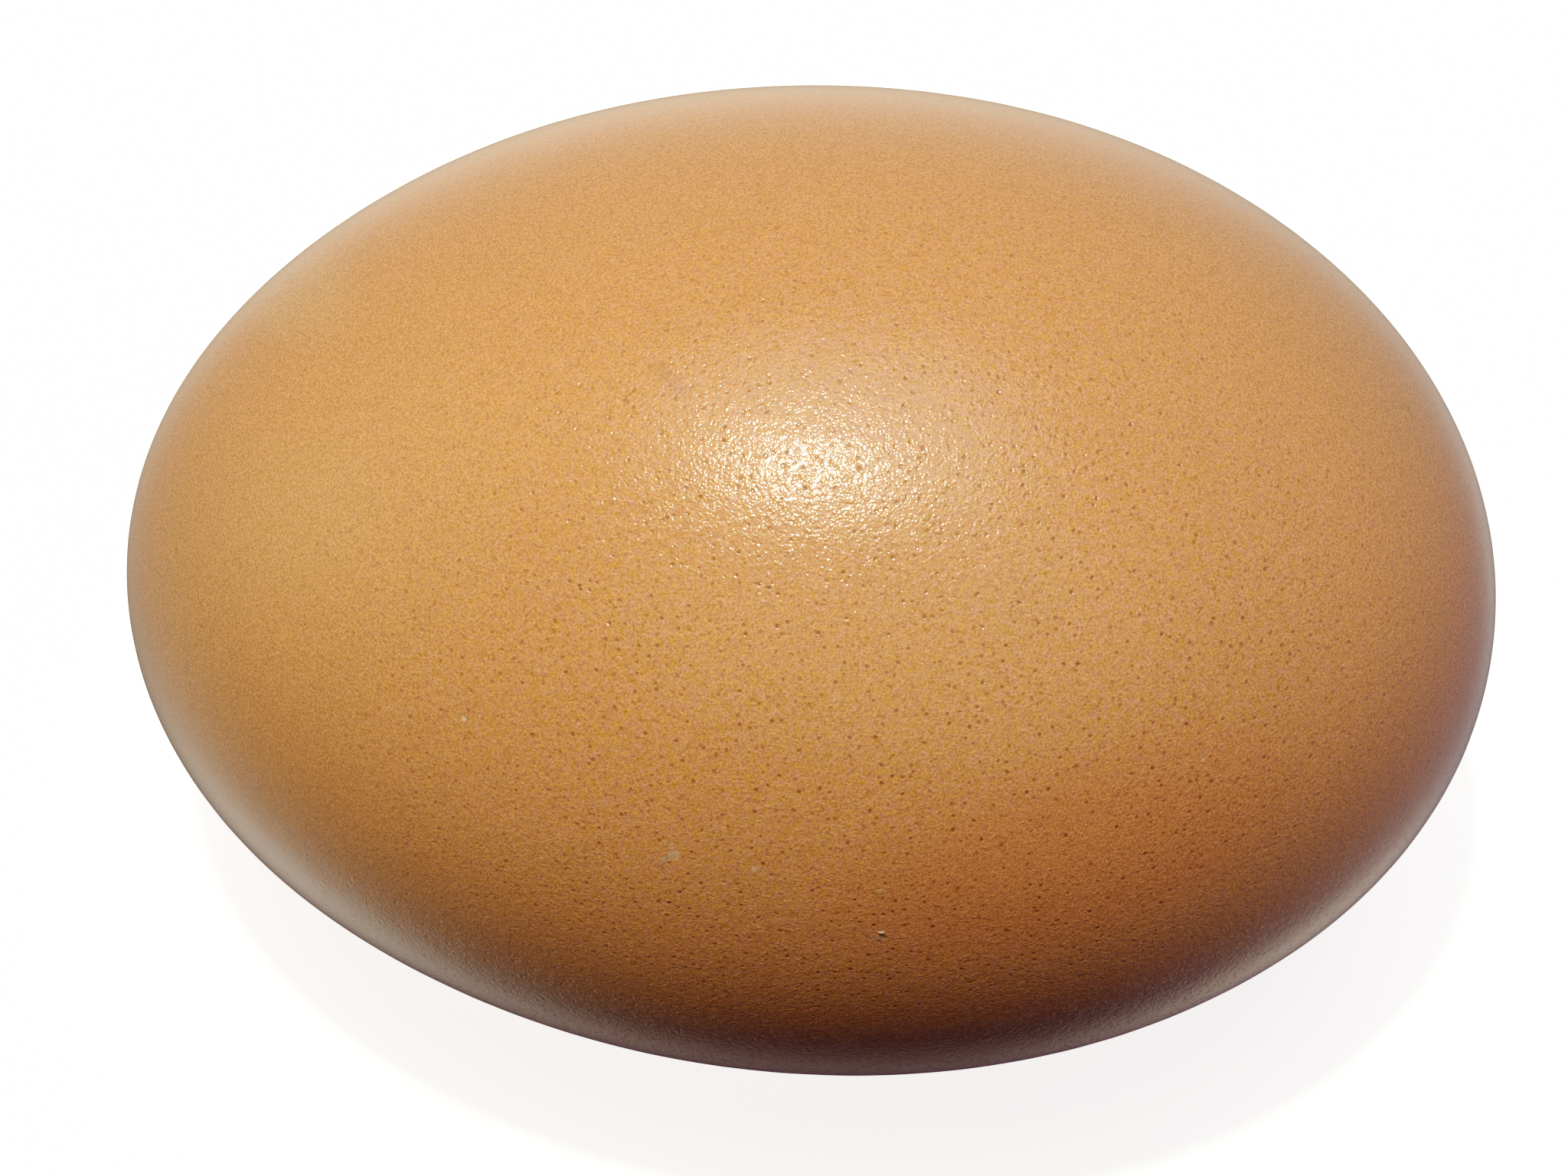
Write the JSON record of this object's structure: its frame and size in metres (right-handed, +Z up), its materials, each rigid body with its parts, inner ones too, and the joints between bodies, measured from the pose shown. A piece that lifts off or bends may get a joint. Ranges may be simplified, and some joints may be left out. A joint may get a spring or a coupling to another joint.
{
  "type": "chicken egg",
  "caption": "Whole hen's egg in a brown shell, lying on its side, with a pointed end, a blunt end and a small flat underneath to rest on.",
  "frame": {"origin": "on the level surface that the egg lies on, under the middle of its bounding box", "axes": "+X along the long axis towards the blunt end, +Z up, -Y towards the viewer of the picture"},
  "size_m": [0.059, 0.0426, 0.0424],
  "materials": {
    "eggshell": "satin"
  },
  "bodies": {
    "root": {"egg": "eggshell"}
  },
  "joints": []
}
